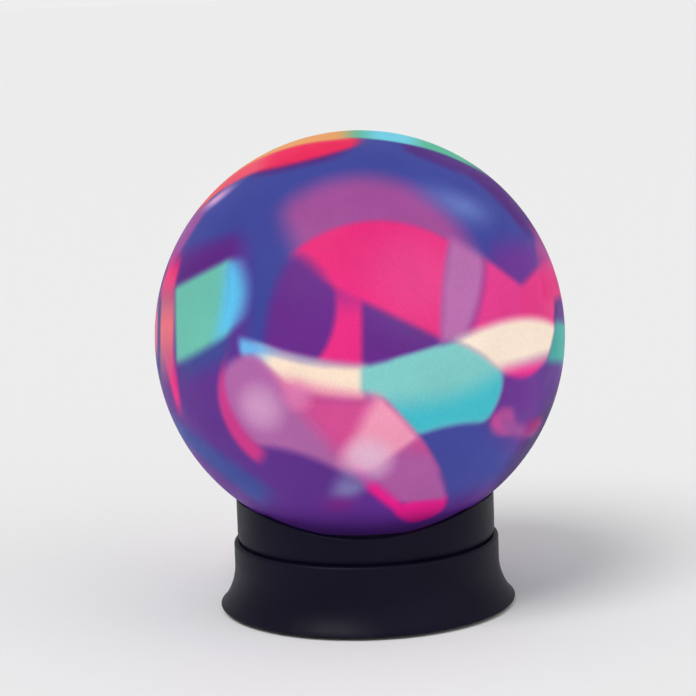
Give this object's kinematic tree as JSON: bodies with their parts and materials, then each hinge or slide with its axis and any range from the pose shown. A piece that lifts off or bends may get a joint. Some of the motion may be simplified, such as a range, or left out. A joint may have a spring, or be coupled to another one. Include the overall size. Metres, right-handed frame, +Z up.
{
  "type": "colour globe lamp",
  "caption": "Opal globe mood lamp on a round flared base, with a geared turning pattern dome over coloured LEDs, push button and DC inlet.",
  "frame": {"origin": "middle of the footprint, on the surface that the rubber feet stand on", "axes": "+Z is up through the globe, the front faces -Y, the button and inlet are at the back on +Y"},
  "size_m": [0.2, 0.2, 0.2337],
  "materials": {
    "opal_shell": "opal acrylic, satin, lit from inside",
    "housing": "satin moulded ABS, near black",
    "cover": "fine matt texture",
    "rubber": "matt",
    "clear_rubber": "matt",
    "engineering_plastic": "natural acetal",
    "deck_plastic": "satin",
    "pattern_plastic": "matt, light tight",
    "washer_plastic": "nylon",
    "steel": "bright zinc",
    "motor_steel": "plated can",
    "aluminium": "satin",
    "board_white": "white solder mask",
    "board_green": "green solder mask",
    "component": "moulded",
    "socket_plastic": "nylon",
    "red_lens": "clear, red",
    "green_lens": "clear, green",
    "blue_lens": "clear, blue",
    "button_plastic": "satin",
    "lead_jacket": "soft"
  },
  "bodies": {
    "base": {"neck_collar": "housing", "seat_ring": "clear_rubber", "base_skirt": "housing", "base_plate": "cover", "rubber_feet": "rubber", "mechanism_deck": "deck_plastic", "centre_post": "engineering_plastic", "thrust_washer": "washer_plastic", "retaining_clip": "steel", "drive_motor": "motor_steel", "heat_sink": "aluminium", "led_board": "board_white", "red_led": "red_lens", "green_led": "green_lens", "blue_led": "blue_lens", "control_board": "board_green", "board_parts": "component", "lead_sockets": "socket_plastic", "dc_jack": "component", "power_switch": "component", "led_lead": "lead_jacket", "motor_lead": "lead_jacket", "base_screws": "steel", "collar_screws": "steel", "deck_screws": "steel", "post_screws": "steel", "motor_screws": "steel", "led_screws": "steel", "board_screws": "steel"},
    "globe": {"opal_globe": "opal_shell", "globe_collar": "housing"},
    "drum": {"drum_gear": "engineering_plastic", "pattern_dome": "pattern_plastic"},
    "pinion": {"motor_shaft": "steel", "drive_pinion": "engineering_plastic"},
    "button": {"power_button": "button_plastic", "switch_plunger": "button_plastic"}
  },
  "joints": [
    {"name": "globe_lift", "type": "slide", "parent": "base", "child": "globe", "axis": [0, 0, 1], "range_m": [0, 0.09]},
    {"name": "drum_spin", "type": "hinge", "parent": "base", "child": "drum", "pos_m": [0, 0, 0.0281], "axis": [0, 0, 1], "continuous": true},
    {"name": "pinion_spin", "type": "hinge", "parent": "base", "child": "pinion", "pos_m": [0, -0.039, 0.0276], "axis": [0, 0, 1], "continuous": true},
    {"name": "button_press", "type": "slide", "parent": "base", "child": "button", "axis": [0, -1, 0], "range_m": [0, 0.0015], "stiffness_N_per_m": 400, "springref_m": -0.001}
  ],
  "couplings": [
    {"joint": "pinion_spin", "follows": "drum_spin", "ratio": -3.3333}
  ]
}
